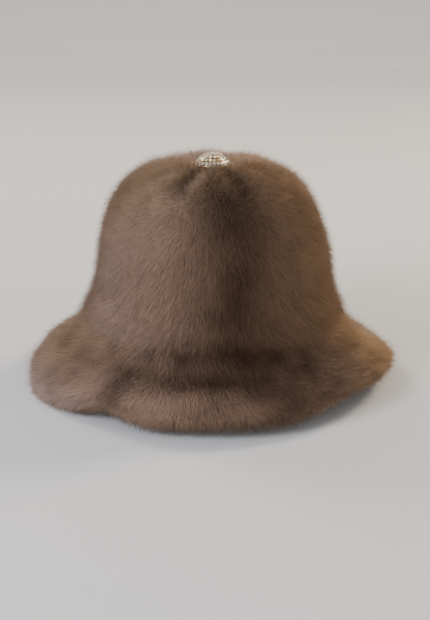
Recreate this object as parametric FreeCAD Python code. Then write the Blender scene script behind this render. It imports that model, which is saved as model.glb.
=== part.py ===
"""A mink cloche hat: fur crown and brim over a stiffened, lined cap, with a stone-set ornament.

Millimetres, +Z up. The front of the hat faces -Y, and +X is on the right of someone looking at it.
The hat stands on the edge of its brim at Z = 0. The Z axis runs through the middle of the head oval
and of the ornament.
"""
import FreeCAD, Part
import math
import os

Vector = FreeCAD.Vector

# ---- head and crown -------------------------------------------------------------------------
head_half_width = 84.0      # inside the sweatband, left to right: with the oval this is a size 57
oval_extra = 13.0           # how much longer than wide the head oval is, in half measures
crown_height = 117.0        # from the cap's lower edge to the top of the lining
opening_height = 55.0       # of the cap's lower edge above the brim's lowest point
crown_hole_radius = 3.0     # for the ornament's thread, through fur, wadding and foundation

# The cap's block from its rounded top to the lower edge: share of half width, share of height.
block_shape = [
    (0.55, 0.945), (0.74, 0.855), (0.87, 0.725),
    (0.945, 0.560), (0.982, 0.390), (1.003, 0.230), (1.035, 0.110), (1.095, 0.000),
]
tip_seam_station = 5        # station of the block where the lining's tip meets its side band

# ---- layers of the crown, counted outwards from the block -----------------------------------
layer_gap = 0.3             # between loose layers
lining_thickness = 0.6
lining_slack = 4.0          # how far the lining's tip hangs clear of the foundation in the middle
foundation_thickness = 1.6
pelt_thickness = 1.0
wadding_side = 4.6          # thickness of the wadding down the sides of the crown
wadding_top = 1.2           # and on top, round the ornament
wadding_hem = 3.2           # and along the lower edge, where the stay tape lies on it
crown_pile = 9.0            # height of the fur that stands on the crown's pelts
dimple_pile = 4.0           # fur pressed down under the ornament
dimple_stations = 2         # stations of the block that lie under it
shoulder_puff = 3.5         # how much fuller the fur is on the +X shoulder than in the middle
panel_count = 4
front_panel_azimuth = 280.0     # of the middle of the front pelt
panel_seam_gap = 0.3        # degrees left between neighbouring pelts for their seam

# ---- brim ---------------------------------------------------------------------------------------
brim_reach = 45.5           # outwards from the brim seam to the cut edge of the pelt
brim_drop = 53.3            # and downwards
brim_pile = 9.0
brim_seam_gap = 0.8         # between the crown's hem and the brim's upper edge
brim_pelt_seam = 236.0      # azimuth of one of the two seams in the brim; the other is opposite
edge_fringe = 7.0           # how far the pile hangs past the cut edge of the pelt
edge_curl = 0.4             # share of the pile's height left at the tip of the fringe
interlining_thickness = 1.2
facing_pile = 4.5           # short fur on the underside
facing_inset = 2.5          # of the underside's pelt from the cut edge of the brim's pelt
edge_wire_radius = 0.7
edge_wire_inset = 1.6       # of the wire's middle from the cut edge
edge_wire_gap = 0.4         # degrees between the wire's ends

# The brim's fall from the seam to the cut edge: share of reach, share of drop.
brim_shape = [(0.0, 0.0), (0.30, 0.29), (0.66, 0.60), (0.90, 0.87), (1.0, 1.0)]

# Waves of the brim's edge: azimuth, spread in degrees, lift, outward push.
brim_waves = [
    (180.0, 24.0, 2.0, 2.5), (208.0, 14.0, 0.0, 2.5), (236.0, 11.0, 6.5, -6.0), (272.0, 22.0, 5.0, 0.5),
    (312.0, 15.0, 5.5, -2.5), (336.0, 24.0, 9.0, 0.0), (2.0, 20.0, 8.0, 1.0), (88.0, 18.0, 5.0, -2.0),
    (155.0, 14.0, 4.0, 0.0),
]

# ---- inside fittings ----------------------------------------------------------------------------
sweatband_thickness = 0.9
sweatband_width = 36.0
sweatband_rise = 9.0        # of its lower edge above the cap's lower edge
tape_thickness = 0.8
tape_width = 7.0
tape_gap = 0.4              # on each face of the tape
button_radius = 9.0
button_thickness = 1.8
label_thickness = 0.4
size_label_width = 15.0
size_label_height = 16.0
care_label_width = 28.0
care_label_height = 20.0
care_label_azimuth = 128.0
back_azimuth = 90.0

# ---- ornament -----------------------------------------------------------------------------------
ornament_radius = 13.5
ornament_dome = 8.0         # rise of the dome above its rim
ornament_clearance = 1.6    # of its back above the fur pressed down round the shank
dimple_margin = 1.3         # by which the fur is pressed down beyond the arm tips
dimple_shoulder = 8.4       # across which it rises to its full height again
dimple_fall = 0.8           # of the block from its top to there
plate_thickness = 0.8
arm_count = 8
arm_length = 4.9            # of the arms beyond the dome's rim
arm_width = 3.0
shank_wire_radius = 0.6
shank_loop_radius = 2.0     # to the middle of its wire
thread_radius = 0.5
stone_rings = [(0.225, 6), (0.435, 12), (0.644, 18), (0.854, 24)]   # share of the way to the rim, stones
middle_rings = 2            # rings that carry the larger stones
centre_stone_radius = 1.9
middle_stone_radius = 1.55
outer_stone_radius = 1.35
arm_stone_radius = 1.1
arm_stone_places = [1.4, 3.7]       # distances of the arms' stones from the dome's rim
setting_wall = 0.2
setting_gap = 0.03
setting_lift = 0.12         # of a setting's floor above the dome that it is soldered to
stone_facets = 8
table_share = 0.55          # of the girdle's radius
crown_share = 0.35          # height of the stone above its girdle, as a share of its radius
pavilion_share = 0.75       # depth of the stone below its girdle

sections_per_circle = 36
strip_points = 5            # points on the meridian of a narrow band


def polar(radius, azimuth, height):
    """Point at a distance from the axis, at an azimuth in degrees and a height."""
    angle = math.radians(azimuth)
    return Vector(radius * math.cos(angle), radius * math.sin(angle), height)


def oval_depth(half_width):
    """Front-to-back half measure of the oval of that half width."""
    return half_width + oval_extra * min(1.0, half_width / head_half_width)


def oval_radius(half_width, azimuth):
    """Distance from the axis to the oval of that half width, in the direction of the azimuth."""
    angle = math.radians(azimuth)
    half_depth = oval_depth(half_width)
    return half_width * half_depth / math.hypot(half_depth * math.cos(angle), half_width * math.sin(angle))


def edge_wave(azimuth):
    """Lift and outward push of the brim's edge at an azimuth."""
    lift = 0.0
    push = 0.0
    for centre, spread, wave_lift, wave_push in brim_waves:
        distance = (azimuth - centre + 180.0) % 360.0 - 180.0
        hump = math.exp(-(distance / spread) ** 2)
        lift += wave_lift * hump
        push += wave_push * hump
    return lift, push


def flat_spline(points):
    """Smooth curve through the points of a meridian, drawn in the plane Y = 0."""
    spline = Part.BSplineCurve()
    spline.interpolate([Vector(across, 0.0, height) for across, height in points])
    return spline


def directions(points):
    """Unit tangents of the smooth meridian through points that run from the top outwards and down."""
    spline = flat_spline(points)
    tangents = [spline.tangent(spline.parameter(Vector(across, 0.0, height)))[0] for across, height in points]
    return [(tangent.x, tangent.z) for tangent in tangents]


def offset(points, distances):
    """Meridian moved outwards by one distance at each of its points."""
    moved = []
    for point, along, distance in zip(points, directions(points), distances):
        moved.append((point[0] - along[1] * distance, point[1] + along[0] * distance))
    return moved


def meridian_edge(points, azimuth):
    """Smooth edge through the points of a meridian, in the plane of the azimuth."""
    spline = Part.BSplineCurve()
    spline.interpolate([polar(oval_radius(across, azimuth), azimuth, height) for across, height in points])
    return spline.toShape()


def section_wire(outer, inner, azimuth):
    """Closed wire in the plane of the azimuth, between an outer and an inner meridian."""
    outer_edge = meridian_edge(outer, azimuth)
    inner_edge = meridian_edge(inner[::-1], azimuth)
    hem = Part.LineSegment(outer_edge.lastVertex().Point, inner_edge.firstVertex().Point).toShape()
    top = Part.LineSegment(inner_edge.lastVertex().Point, outer_edge.firstVertex().Point).toShape()
    return Part.Wire([outer_edge, hem, inner_edge, top])


def sector(wire_at, start, turn):
    """Solid lofted through the wires that wire_at(azimuth) gives over a turn of the axis."""
    steps = max(4, round(sections_per_circle * turn / 360.0))
    return Part.makeLoft([wire_at(start + turn * step / steps) for step in range(steps + 1)], True, False)


def ring(wire_at, start=90.0):
    """The same right round the axis, as two halves that are joined at the start and opposite it."""
    return sector(wire_at, start, 180.0).fuse(sector(wire_at, start + 180.0, 180.0)).Solids[0]


# ---- meridians of the cap --------------------------------------------------------------------
# The block is the inner face of the lining. It stands outside the sweatband, which has the head size.
block_ease = sweatband_thickness + layer_gap
arm_reach = ornament_radius + arm_length
block_top = opening_height + crown_height
dimple_radius = arm_reach + dimple_margin
block = [(crown_hole_radius, block_top), (dimple_radius, block_top),
         (dimple_radius + dimple_shoulder, block_top - dimple_fall)]
for across_share, height_share in block_shape:
    block.append((head_half_width * across_share + block_ease, opening_height + crown_height * height_share))
stations = len(block)

wadding = [wadding_top] * 3 + [(wadding_top + wadding_side) / 2.0]
wadding += [wadding_side] * (stations - 6) + [wadding_hem] * 2
lining_face = lining_thickness
foundation_inner = lining_face + layer_gap
foundation_outer = foundation_inner + foundation_thickness
wadding_inner = foundation_outer + layer_gap
wadding_outer = [wadding_inner + thickness for thickness in wadding]
pelt_inner = [wadding_inner + thickness + layer_gap for thickness in wadding]
pelt_inner[-2:] = [distance + 2.0 * tape_gap - layer_gap + tape_thickness for distance in pelt_inner[-2:]]


def level(distance):
    """The same distance at every station of the block."""
    return [distance] * stations


def crown_face(azimuth):
    """Distances from the block to the mean face of the crown's fur."""
    lean = shoulder_puff * math.cos(math.radians(azimuth))
    distances = []
    for station, inner in enumerate(pelt_inner):
        pile = dimple_pile if station < dimple_stations else crown_pile
        shoulder = math.exp(-((station - 4.5) / 1.6) ** 2)
        distances.append(inner + pelt_thickness + pile + lean * shoulder)
    return distances


def shell_wire(inner, outer):
    """Maker of the wires of a cap layer that lies between two distances from the block."""
    return lambda azimuth: section_wire(offset(block, outer), offset(block, inner), azimuth)


def strip_line(distance, low, high):
    """Block's meridian between two of its heights, moved outwards by a distance."""
    spline = flat_spline(block)
    line = []
    for step in range(strip_points):
        height = high + (low - high) * step / (strip_points - 1)
        flat = Part.Plane(Vector(0.0, 0.0, height), Vector(0.0, 0.0, 1.0))
        crossing = spline.intersect(flat)[0][0]
        point = Vector(crossing.X, crossing.Y, crossing.Z)
        along = spline.tangent(spline.parameter(point))[0]
        line.append((point.x - along.z * distance, point.z + along.x * distance))
    return line


def strip_wire(inner, outer, low, high):
    """Maker of the wires of a band between two distances from the block and two of its heights."""
    outer_line = strip_line(outer, low, high)
    inner_line = strip_line(inner, low, high)
    return lambda azimuth: section_wire(outer_line, inner_line, azimuth)


# ---- meridians of the brim -------------------------------------------------------------------
crown_hem = offset(block, pelt_inner)[-1]
seam_half_width = crown_hem[0]
seam_height = crown_hem[1] - brim_seam_gap


def brim_line(azimuth, inset):
    """Upper face of the brim's interlining, from the seam to an inset from the cut edge."""
    lift, push = edge_wave(azimuth)
    kept = 1.0 - inset / math.hypot(brim_reach, brim_drop)
    line = []
    for reach_share, drop_share in brim_shape:
        bend = (kept * reach_share) ** 2
        line.append((
            seam_half_width + brim_reach * kept * reach_share + push * bend,
            seam_height - brim_drop * kept * drop_share + lift * bend,
        ))
    return line


def brim_wire(lower, upper, inset):
    """Maker of the wires of a brim layer, at two distances above the interlining's upper face."""
    def wire_at(azimuth):
        line = brim_line(azimuth, inset)
        return section_wire(offset(line, [upper] * len(line)), offset(line, [lower] * len(line)), azimuth)
    return wire_at


def brim_fur_wire(azimuth):
    """Section of the brim's fur, whose pile hangs past the cut edge in a fringe."""
    line = brim_line(azimuth, 0.0)
    inner = offset(line, [layer_gap] * len(line))
    face = layer_gap + pelt_thickness + brim_pile
    outer = offset(line, [face] * len(line))
    hem_face = offset(block, crown_face(azimuth))[-1]
    outer[0] = (hem_face[0], hem_face[1] - brim_seam_gap)
    along = directions(line)[-1]
    fringe = offset(line, [face * edge_curl] * len(line))[-1]
    outer.append((fringe[0] + along[0] * edge_fringe, fringe[1] + along[1] * edge_fringe))
    return section_wire(outer, inner, azimuth)


def facing_wire(azimuth):
    """Section of the fur on the brim's underside, which thins out towards the edge."""
    line = brim_line(azimuth, facing_inset)
    upper = -interlining_thickness - layer_gap
    lower = upper - pelt_thickness - facing_pile
    depths = [lower] * (len(line) - 2) + [(upper + 2.0 * lower) / 3.0, upper - pelt_thickness]
    return section_wire(offset(line, [upper] * len(line)), offset(line, depths), azimuth)


# ---- crown --------------------------------------------------------------------------------------
def crown_panels():
    """Pelts side by side, each with its pile, drawn together under the ornament."""
    def wire_at(azimuth):
        return section_wire(offset(block, crown_face(azimuth)), offset(block, pelt_inner), azimuth)

    turn = 360.0 / panel_count
    first = front_panel_azimuth - turn / 2.0
    panels = {}
    for index in range(panel_count):
        start = first + turn * index + panel_seam_gap / 2.0
        panels["fur_crown_panel_%d" % (index + 1)] = sector(wire_at, start, turn - panel_seam_gap)
    return panels


def cap_layers():
    """What the fur is made up on: wadding, stiff foundation and the stay tape along the hem."""
    return {
        "crown_wadding": ring(shell_wire(level(wadding_inner), wadding_outer)),
        "crown_foundation": ring(shell_wire(level(foundation_inner), level(foundation_outer))),
        "hem_stay_tape": ring(strip_wire(
            wadding_outer[-1] + tape_gap, wadding_outer[-1] + tape_gap + tape_thickness,
            opening_height + layer_gap, opening_height + layer_gap + tape_width)),
    }


# ---- brim ---------------------------------------------------------------------------------------
def edge_wire():
    """Round wire that follows the brim's waves just inside the cut edge; its ends meet at the back."""
    def wire_at(azimuth):
        line = brim_line(azimuth, edge_wire_inset)
        across, height = offset(line, [-interlining_thickness / 2.0] * len(line))[-1]
        centre = polar(oval_radius(across, azimuth), azimuth, height)
        return Part.Wire([Part.Circle(centre, polar(1.0, azimuth + 90.0, 0.0), edge_wire_radius).toShape()])

    return sector(wire_at, back_azimuth + edge_wire_gap / 2.0, 360.0 - edge_wire_gap)


def brim_layers():
    """Two pelts above, a stiff interlining with a wire in its edge, and short fur underneath."""
    start = brim_pelt_seam + panel_seam_gap / 2.0
    turn = 180.0 - panel_seam_gap

    stiffener_inset = edge_wire_inset + edge_wire_radius + layer_gap
    return {
        "fur_brim_front": sector(brim_fur_wire, start, turn),
        "fur_brim_back": sector(brim_fur_wire, start + 180.0, turn),
        "brim_interlining": ring(brim_wire(-interlining_thickness, 0.0, stiffener_inset), brim_pelt_seam),
        "brim_edge_wire": edge_wire(),
        "fur_brim_facing": ring(facing_wire, brim_pelt_seam),
    }


# ---- lining and sweatband --------------------------------------------------------------------
def lining_tip():
    """Oval of lining cloth over the top of the head, hanging slack below the foundation."""
    slack = [lining_slack * (1.0 - station / tip_seam_station) for station in range(tip_seam_station + 1)]
    tip = block[:tip_seam_station + 1]
    under = [(across, height - drop) for (across, height), drop in zip(tip, slack)]
    over = [(across, height - drop) for (across, height), drop in
            zip(offset(block, level(lining_face))[:tip_seam_station + 1], slack)]
    over[0] = (0.0, over[0][1])
    under[0] = (0.0, under[0][1])

    upper = flat_spline(over).toShape()
    lower = flat_spline(under[::-1]).toShape()
    rim = Part.LineSegment(upper.lastVertex().Point, lower.firstVertex().Point).toShape()
    axis = Part.LineSegment(lower.lastVertex().Point, upper.firstVertex().Point).toShape()
    disc = Part.Face(Part.Wire([upper, rim, lower, axis])).revolve(Vector(), Vector(0.0, 0.0, 1.0), 360.0)
    stretch = FreeCAD.Matrix()
    stretch.scale(1.0, oval_depth(head_half_width) / head_half_width, 1.0)
    return disc.transformGeometry(stretch).Solids[0]


def label(azimuth, width, low, high, distance):
    """Small woven tab that lies on the inside of the cap, between two heights."""
    half_turn = math.degrees(width / 2.0 / oval_radius(head_half_width, azimuth))
    wire_at = strip_wire(distance - label_thickness, distance, low, high)
    return sector(wire_at, azimuth - half_turn, 2.0 * half_turn)


def inside_fittings():
    """Lining, sweatband and labels: what the wearer's head and hand meet."""
    band_low = opening_height + sweatband_rise
    band_high = band_low + sweatband_width
    band_inner = -block_ease
    tip_edge = block[tip_seam_station][1] - layer_gap
    return {
        "lining_tip": lining_tip(),
        "lining_side_band": ring(strip_wire(0.0, lining_face, opening_height + layer_gap, tip_edge)),
        "sweatband": ring(strip_wire(band_inner, band_inner + sweatband_thickness, band_low, band_high)),
        "size_label": label(back_azimuth, size_label_width, band_low + layer_gap,
                            band_low + size_label_height, band_inner - layer_gap / 2.0),
        "care_label": label(care_label_azimuth, care_label_width, band_high + layer_gap,
                            band_high + care_label_height, -layer_gap / 2.0),
    }


# ---- ornament -----------------------------------------------------------------------------------
hole_face = offset(block, crown_face(0.0))[0][1]
rim_height = hole_face + ornament_clearance + plate_thickness
dome_radius = (ornament_radius ** 2 + ornament_dome ** 2) / (2.0 * ornament_dome)
dome_centre = rim_height + ornament_dome - dome_radius
rim_tilt = math.degrees(math.asin(ornament_radius / dome_radius))


def on_dome(tilt, azimuth, shape):
    """Shape drawn upright at the origin, moved onto the dome at a tilt from the top."""
    placed = shape.copy()
    placed.translate(Vector(0.0, 0.0, dome_radius + setting_lift))
    placed.rotate(Vector(), Vector(0.0, 1.0, 0.0), tilt)
    placed.rotate(Vector(), Vector(0.0, 0.0, 1.0), azimuth)
    placed.translate(Vector(0.0, 0.0, dome_centre))
    return placed


def on_arm(distance, azimuth, shape):
    """Shape drawn upright at the origin, moved onto an arm at a distance from the middle."""
    placed = shape.copy()
    placed.translate(Vector(distance, 0.0, rim_height + setting_lift))
    placed.rotate(Vector(), Vector(0.0, 0.0, 1.0), azimuth)
    return placed


def stone(radius):
    """Brilliant with a flat table, standing with its point at the floor of its setting."""
    def octagon(across, height):
        corners = [polar(across, 360.0 * (side + 0.5) / stone_facets, height) for side in range(stone_facets)]
        return Part.makePolygon(corners + corners[:1])

    girdle = setting_wall + pavilion_share * radius
    culet = Part.Vertex(Vector(0.0, 0.0, setting_wall + setting_gap))
    upper = Part.makeLoft([octagon(radius, girdle),
                           octagon(radius * table_share, girdle + crown_share * radius)], True, True)
    lower = Part.makeLoft([octagon(radius, girdle), culet], True, True)
    return upper.fuse(lower).Solids[0]


def setting(radius):
    """Cup with a floor, a little wider than its stone and as high as the stone's girdle."""
    outer_radius = radius + setting_gap + setting_wall
    height = setting_wall + pavilion_share * radius + setting_wall / 2.0
    cup = Part.makeCylinder(outer_radius, height)
    bore = Part.makeCylinder(radius + setting_gap, height, Vector(0.0, 0.0, setting_wall))
    return cup.cut(bore)


def stone_places():
    """Each stone's kind and radius, and the function that moves a shape to its place."""
    places = [("ornament_stone_centre", centre_stone_radius, lambda shape: on_dome(0.0, 0.0, shape))]
    for ring_index, (rim_share, count) in enumerate(stone_rings):
        tilt = rim_share * rim_tilt
        large = ring_index < middle_rings
        kind = "ornament_stones_middle" if large else "ornament_stones_outer"
        radius = middle_stone_radius if large else outer_stone_radius
        for index in range(count):
            azimuth = 360.0 * (index + 0.5 * (ring_index % 2)) / count
            places.append((kind, radius, lambda shape, t=tilt, a=azimuth: on_dome(t, a, shape)))
    for arm in range(arm_count):
        for distance in arm_stone_places:
            azimuth = 360.0 * arm / arm_count
            places.append(("ornament_stones_arms", arm_stone_radius,
                           lambda shape, d=ornament_radius + distance, a=azimuth: on_arm(d, a, shape)))
    return places


def ornament_plate():
    """Pierced-look dome pressed from sheet, with arms that reach out from its rim."""
    ball = Part.makeSphere(dome_radius, Vector(0.0, 0.0, dome_centre))
    hollow = Part.makeSphere(dome_radius - plate_thickness, Vector(0.0, 0.0, dome_centre))
    above = Part.makeCylinder(2.0 * ornament_radius, 2.0 * ornament_dome, Vector(0.0, 0.0, rim_height))
    dome = ball.cut(hollow).common(above)
    arms = []
    for arm in range(arm_count):
        length = arm_reach - ornament_radius + 2.0 * plate_thickness
        strip = Part.makeBox(length, arm_width, plate_thickness,
                             Vector(arm_reach - length, -arm_width / 2.0, rim_height - plate_thickness))
        corners = [edge for edge in strip.Edges if edge.BoundBox.XMin > arm_reach - plate_thickness / 2.0
                   and edge.BoundBox.ZLength > plate_thickness / 2.0]
        strip = strip.makeFillet(arm_width * 0.45, corners)
        strip.rotate(Vector(), Vector(0.0, 0.0, 1.0), 360.0 * arm / arm_count)
        arms.append(strip)
    rim = Part.makeCylinder(ornament_radius, plate_thickness, Vector(0.0, 0.0, rim_height - plate_thickness))
    rim = rim.cut(Part.makeCylinder(ornament_radius - 2.0 * plate_thickness, plate_thickness,
                                    Vector(0.0, 0.0, rim_height - plate_thickness)))
    return dome.multiFuse(arms + [rim]).removeSplitter().Solids[0]


def ornament():
    """Domed, stone-set ornament, sewn through the crown to a button inside."""
    kinds = {}
    settings = []
    for kind, radius, move in stone_places():
        kinds.setdefault(kind, []).append(move(stone(radius)))
        settings.append(move(setting(radius)))

    back_height = rim_height - plate_thickness
    back_radius = ornament_radius - 2.0 * plate_thickness - setting_gap
    loop_height = back_height - shank_wire_radius
    loop_centre = Vector(0.0, 0.0, loop_height)
    loop = Part.makeTorus(shank_loop_radius, shank_wire_radius, loop_centre, Vector(1.0, 0.0, 0.0))
    below = Part.makeBox(20.0, 20.0, 20.0, Vector(-10.0, -10.0, back_height - 20.0))
    loop_foot = loop_height - shank_loop_radius - shank_wire_radius
    button_top = offset(block, level(foundation_inner - layer_gap))[0][1]
    button_foot = button_top - button_thickness
    stitch = Part.makeCylinder(thread_radius, loop_foot - button_top, Vector(0.0, 0.0, button_top))
    shapes = {kind: Part.makeCompound(stones) for kind, stones in kinds.items()}
    shapes.update({
        "ornament_settings": Part.makeCompound(settings),
        "ornament_plate": ornament_plate(),
        "ornament_back_disc": Part.makeCylinder(back_radius, plate_thickness, Vector(0.0, 0.0, back_height)),
        "ornament_shank": loop.common(below).Solids[0],
        "ornament_thread": stitch,
        "inner_button": Part.makeCylinder(button_radius, button_thickness, Vector(0.0, 0.0, button_foot)),
    })
    return shapes


def build():
    """All the sub-parts by name."""
    shapes = crown_panels()
    shapes.update(cap_layers())
    shapes.update(brim_layers())
    shapes.update(inside_fittings())
    shapes.update(ornament())
    return shapes


os.makedirs("parts", exist_ok=True)
for name, shape in build().items():
    shape.exportStep("parts/%s.step" % name)
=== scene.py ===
"""Mink cloche hat: the fur, the stone-set ornament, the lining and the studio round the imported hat."""

import math

import bmesh
import bpy
import numpy as np
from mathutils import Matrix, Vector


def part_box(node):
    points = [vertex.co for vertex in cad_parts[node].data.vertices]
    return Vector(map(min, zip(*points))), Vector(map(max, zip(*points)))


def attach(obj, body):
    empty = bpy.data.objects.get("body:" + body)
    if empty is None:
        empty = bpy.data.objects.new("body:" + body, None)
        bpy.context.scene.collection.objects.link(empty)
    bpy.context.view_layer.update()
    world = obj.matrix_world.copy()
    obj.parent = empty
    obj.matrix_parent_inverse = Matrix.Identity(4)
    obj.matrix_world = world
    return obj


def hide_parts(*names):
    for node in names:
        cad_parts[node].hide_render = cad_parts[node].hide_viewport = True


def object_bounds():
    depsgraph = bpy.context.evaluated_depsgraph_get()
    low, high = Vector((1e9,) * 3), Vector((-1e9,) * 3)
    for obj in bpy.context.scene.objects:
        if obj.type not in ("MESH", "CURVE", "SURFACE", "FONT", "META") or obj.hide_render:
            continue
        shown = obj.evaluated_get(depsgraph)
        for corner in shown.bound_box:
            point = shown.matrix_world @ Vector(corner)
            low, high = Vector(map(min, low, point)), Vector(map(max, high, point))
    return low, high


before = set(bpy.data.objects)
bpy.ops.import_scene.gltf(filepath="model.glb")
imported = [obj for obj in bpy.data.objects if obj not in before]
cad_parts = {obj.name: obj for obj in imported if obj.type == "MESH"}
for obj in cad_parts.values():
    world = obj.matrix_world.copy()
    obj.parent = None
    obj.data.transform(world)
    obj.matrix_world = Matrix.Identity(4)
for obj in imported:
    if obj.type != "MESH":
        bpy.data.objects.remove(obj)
cad_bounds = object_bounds()

bl_info = {
    "name": "Mink cloche hat",
    "version": (1, 0, 0),
    "blender": (4, 5, 0),
    "location": "View3D > Sidebar > Hat",
    "description": "Fur, ornament, lining and studio for a mink cloche hat",
    "category": "Object",
}

ROOT = "root"
MM = 0.001
TONES = 16      # shades of fur from dark to light, as columns of the look-up map
WARMTHS = 8     # and from grey to golden within each shade
COLUMNS = TONES * WARMTHS

crown_nodes = sorted(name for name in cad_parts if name.startswith("fur_crown_panel"))
brim_nodes = ["fur_brim_front", "fur_brim_back"]


def span(*nodes):
    """Lowest and highest corners of some CAD nodes together, in metres."""
    lows, highs = zip(*(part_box(node) for node in nodes))
    return np.min(lows, axis=0), np.max(highs, axis=0)


crown_low, crown_high = span(*crown_nodes)
band_low, band_high = span("sweatband")

# Head oval: half the sweatband's width, and how much more half its depth is.
band_half_width = (band_high[0] - band_low[0]) / 2
oval_extra = (band_high[1] - band_low[1]) / 2 - band_half_width
crown_half_width = (crown_high[0] - crown_low[0]) / 2


# ---- settings a user would change ----
class HatFurSettings(bpy.types.PropertyGroup):
    """Sizes and colours of the mink."""
    hair_length: bpy.props.FloatProperty(
        name="Guard hair length", description="Length of the guard hairs above the underfur",
        default=10.5 * MM, min=2 * MM, max=30 * MM, unit="LENGTH")
    hair_radius: bpy.props.FloatProperty(
        name="Guard hair radius", description="Radius of a lock of guard hairs at its root",
        default=0.26 * MM, min=0.05 * MM, max=1 * MM, unit="LENGTH")
    facing_length: bpy.props.FloatProperty(
        name="Under-brim hair length", description="Length of the short hairs under the brim",
        default=6 * MM, min=1 * MM, max=20 * MM, unit="LENGTH")
    lean: bpy.props.FloatProperty(
        name="Lean", description="Angle between the hairs and the fur's surface",
        default=math.radians(24), min=0.0, max=math.radians(90), subtype="ANGLE")
    crown_hairs: bpy.props.IntProperty(
        name="Hairs on each crown pelt", description="Number of guard hairs on each pelt of the crown",
        default=62000, min=100, max=66000)
    brim_hairs: bpy.props.IntProperty(
        name="Hairs on each brim pelt", description="Number of guard hairs on each pelt of the brim",
        default=58000, min=100, max=66000)
    facing_hairs: bpy.props.IntProperty(
        name="Hairs under the brim", description="Number of short hairs on the underside of the brim",
        default=56000, min=100, max=60000)
    clump: bpy.props.FloatProperty(
        name="Clump width", description="Width of the small tufts that the hairs gather in",
        default=1.9 * MM, min=0.5 * MM, max=20 * MM, unit="LENGTH")
    dark: bpy.props.FloatVectorProperty(
        name="Dark brown", description="Colour of the stripe along the back of each pelt",
        subtype="COLOR", size=3, default=(0.072, 0.031, 0.012), min=0.0, max=1.0)
    # The grey and the golden brown are partly the pelts' own colours and partly painted light: the grey
    # stands for hairs under the cool light from the left front, the golden for hairs against the warm light
    # from the right and behind.
    grey: bpy.props.FloatVectorProperty(
        name="Grey brown", description="Cool colour of the pale flanks",
        subtype="COLOR", size=3, default=(0.46, 0.305, 0.240), min=0.0, max=1.0)
    gold: bpy.props.FloatVectorProperty(
        name="Golden brown", description="Warm colour of the hairs seen against the light",
        subtype="COLOR", size=3, default=(0.54, 0.325, 0.150), min=0.0, max=1.0)
    seed: bpy.props.IntProperty(
        name="Seed", description="Start of the random numbers that scatter the hairs", default=7, min=0)


# ---- small tools ----
def smooth(knots, at):
    """Smooth curve through evenly spaced knots: a cubic between each two, with the slope at a knot
    half the difference of its neighbours."""
    knots = np.asarray(knots, float)
    gradients = np.gradient(knots)
    index = np.clip(np.floor(at).astype(int), 0, len(knots) - 2)
    part = at - index
    rise = knots[index + 1] - knots[index]
    first, last = gradients[index], gradients[index + 1]
    return (knots[index] + part * first + part ** 2 * (3 * rise - 2 * first - last)
            + part ** 3 * (first + last - 2 * rise))


def hump(azimuth, centre, spread):
    """Bell of height 1 at a centre azimuth, in degrees, that goes round the circle."""
    distance = (azimuth - centre + 180) % 360 - 180
    return np.exp(-(distance / spread) ** 2)


def bell(values, centre, spread):
    """Bell of height 1 at a centre."""
    return np.exp(-((values - centre) / spread) ** 2)


def hashed(*cells):
    """Random number from 0 to 1 for each cell of a lattice, the same each time."""
    mixed = sum(np.asarray(cell, float) * factor for cell, factor in zip(cells, (127.1, 311.7, 74.7)))
    return np.abs(np.sin(mixed) * 43758.5453) % 1.0


def soft_noise(x, y, salt=0.0):
    """Smooth noise from 0 to 1: random numbers at whole places, eased between them."""
    left, low = np.floor(x), np.floor(y)
    ease_x, ease_y = x - left, y - low
    ease_x, ease_y = ease_x ** 2 * (3 - 2 * ease_x), ease_y ** 2 * (3 - 2 * ease_y)
    bottom, top = (hashed(left, row, salt) * (1 - ease_x) + hashed(left + 1, row, salt) * ease_x
                   for row in (low, low + 1))
    return bottom * (1 - ease_y) + top * ease_y


def unit(vectors):
    """Vectors of length 1 in the same directions."""
    return vectors / np.maximum(np.linalg.norm(vectors, axis=-1, keepdims=True), 1e-12)


def circles(along, beside, sides, start=0.0):
    """Points of unit circles that stand across some directions, evenly spaced from a starting turn."""
    up = np.cross(beside, along)
    turn = (np.asarray(start)[..., None] + np.arange(sides) * 2 * np.pi / sides)[..., None]
    return beside[:, None] * np.cos(turn) + up[:, None] * np.sin(turn)


def put_object(name, data):
    """New object in the scene for a mesh, a lamp or a camera."""
    made = bpy.data.objects.new(name, data)
    bpy.context.scene.collection.objects.link(made)
    return made


def put_mesh(name, verts, faces, material, uv=None, map_name="OFBake"):
    """New piece from whole arrays: vertices, faces (all triangles or all quads) and corner UVs."""
    mesh = bpy.data.meshes.new(name)
    corners = faces.shape[1]
    mesh.vertices.add(len(verts))
    mesh.vertices.foreach_set("co", np.ascontiguousarray(verts, np.float32).ravel())
    mesh.loops.add(faces.size)
    mesh.loops.foreach_set("vertex_index", faces.astype(np.int32).ravel())
    mesh.polygons.add(len(faces))
    mesh.polygons.foreach_set("loop_start", np.arange(len(faces), dtype=np.int32) * corners)
    mesh.polygons.foreach_set("use_smooth", np.ones(len(faces), bool))
    if uv is not None:
        layer = mesh.uv_layers.new(name=map_name)
        layer.uv.foreach_set("vector", np.ascontiguousarray(uv, np.float32).ravel())
    mesh.update(calc_edges=True)
    mesh.validate()
    mesh.materials.append(material)
    piece = put_object(name, mesh)
    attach(piece, ROOT)
    return piece


def grid_faces(rows, columns, closed=False):
    """Quads of a grid of points, row by row; closed joins the last column to the first."""
    wide = columns if closed else columns - 1
    row, column = np.meshgrid(np.arange(rows - 1), np.arange(wide), indexing="ij")
    after = (column + 1) % columns
    quads = np.stack([row * columns + column, row * columns + after,
                      (row + 1) * columns + after, (row + 1) * columns + column], -1)
    return quads.reshape(-1, 4)


# ---- the shape of the fur ----
# Top of the crown's underfur as shares of the crown's half width and of its top's height.
CROWN_LINE = np.array([
    (0.052, 0.955), (0.184, 0.960), (0.270, 0.969), (0.478, 0.950), (0.668, 0.890), (0.795, 0.788),
    (0.861, 0.665), (0.892, 0.550), (0.906, 0.450), (0.928, 0.384), (0.958, 0.330),
])
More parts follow.
